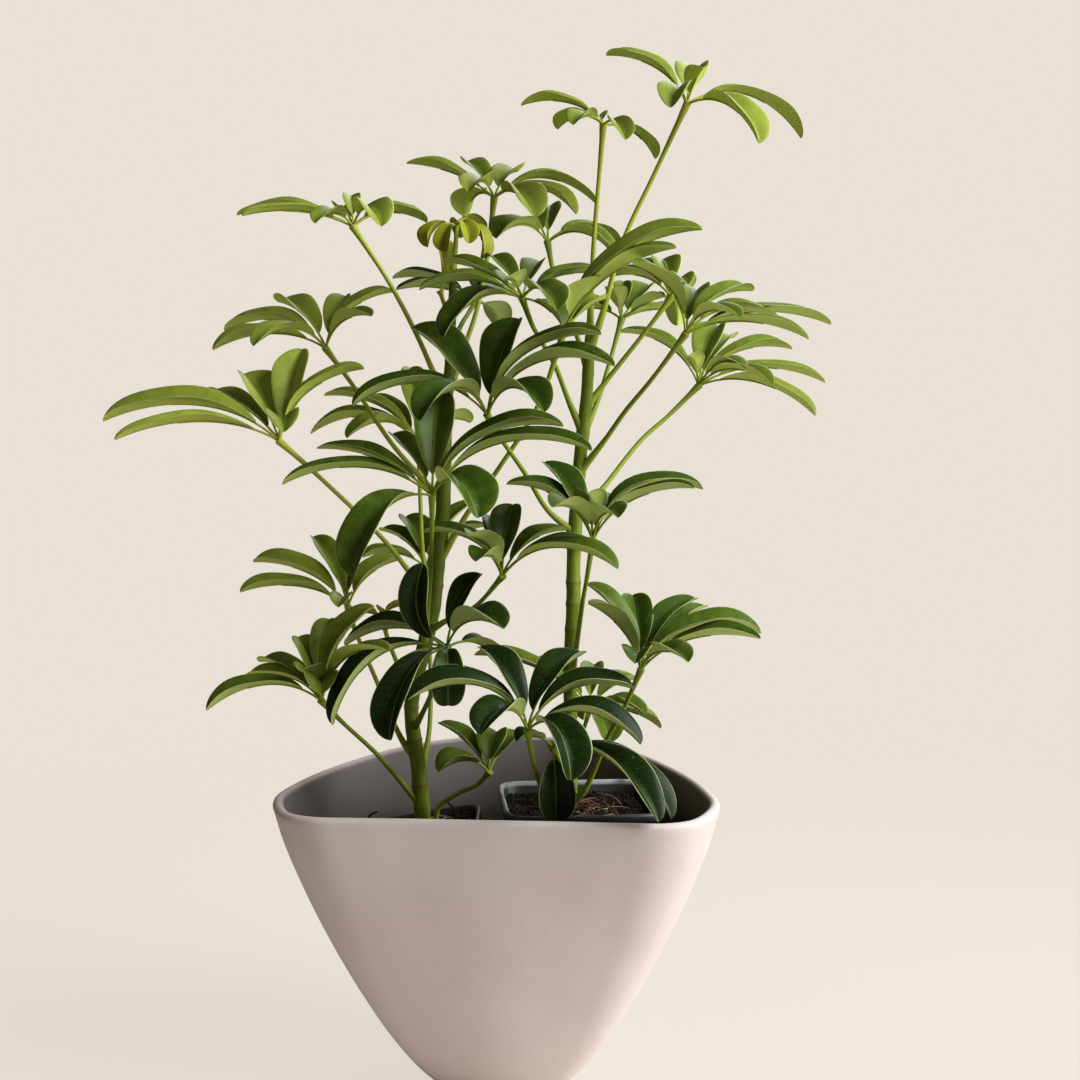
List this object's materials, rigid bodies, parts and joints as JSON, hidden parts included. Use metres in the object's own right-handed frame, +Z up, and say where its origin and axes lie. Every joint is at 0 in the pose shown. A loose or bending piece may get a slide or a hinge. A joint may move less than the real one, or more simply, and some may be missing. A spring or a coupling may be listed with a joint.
{
  "type": "potted umbrella plant",
  "caption": "Bushy umbrella plant with long-stalked fans of leaflets, in nursery pots inside a tall three-cornered matte ceramic planter with a small flat foot.",
  "frame": {"origin": "middle of the planter's flat foot, on the surface that it stands on", "axes": "+Z up, -Y out of the planter's flat front, +X to the right seen from the front"},
  "size_m": [0.4661, 0.2853, 0.6743],
  "materials": {
    "ceramic": "matte",
    "pot_plastic": "satin",
    "potting_mix": "matte",
    "stem": "satin",
    "leaf": "satin",
    "young_leaf": "satin"
  },
  "bodies": {
    "root": {"planter": "ceramic", "grow_pot_right": "pot_plastic", "grow_pot_left": "pot_plastic", "soil_right": "potting_mix", "soil_left": "potting_mix", "stem_right": "stem", "stem_left": "stem", "leaf_right_01": "leaf", "leaf_right_02": "leaf", "leaf_right_03": "leaf", "leaf_right_04": "leaf", "leaf_right_05": "leaf", "leaf_right_06": "leaf", "leaf_right_07": "leaf", "leaf_right_08": "leaf", "leaf_right_09": "leaf", "leaf_right_10": "leaf", "leaf_right_11": "leaf", "leaf_right_12": "leaf", "leaf_right_13": "leaf", "leaf_left_01": "leaf", "leaf_left_02": "leaf", "leaf_left_03": "leaf", "leaf_left_04": "leaf", "leaf_left_05": "leaf", "leaf_left_06": "leaf", "leaf_left_07": "leaf", "leaf_left_08": "leaf", "leaf_left_09": "leaf", "leaf_left_10": "leaf", "leaf_left_11": "leaf", "leaf_left_12": "leaf", "leaf_left_13": "leaf", "leaf_left_14": "young_leaf", "leaf_soil_right": "leaf", "leaf_soil_left": "leaf", "crown_left": "young_leaf", "sprout_left": "young_leaf"}
  },
  "joints": []
}
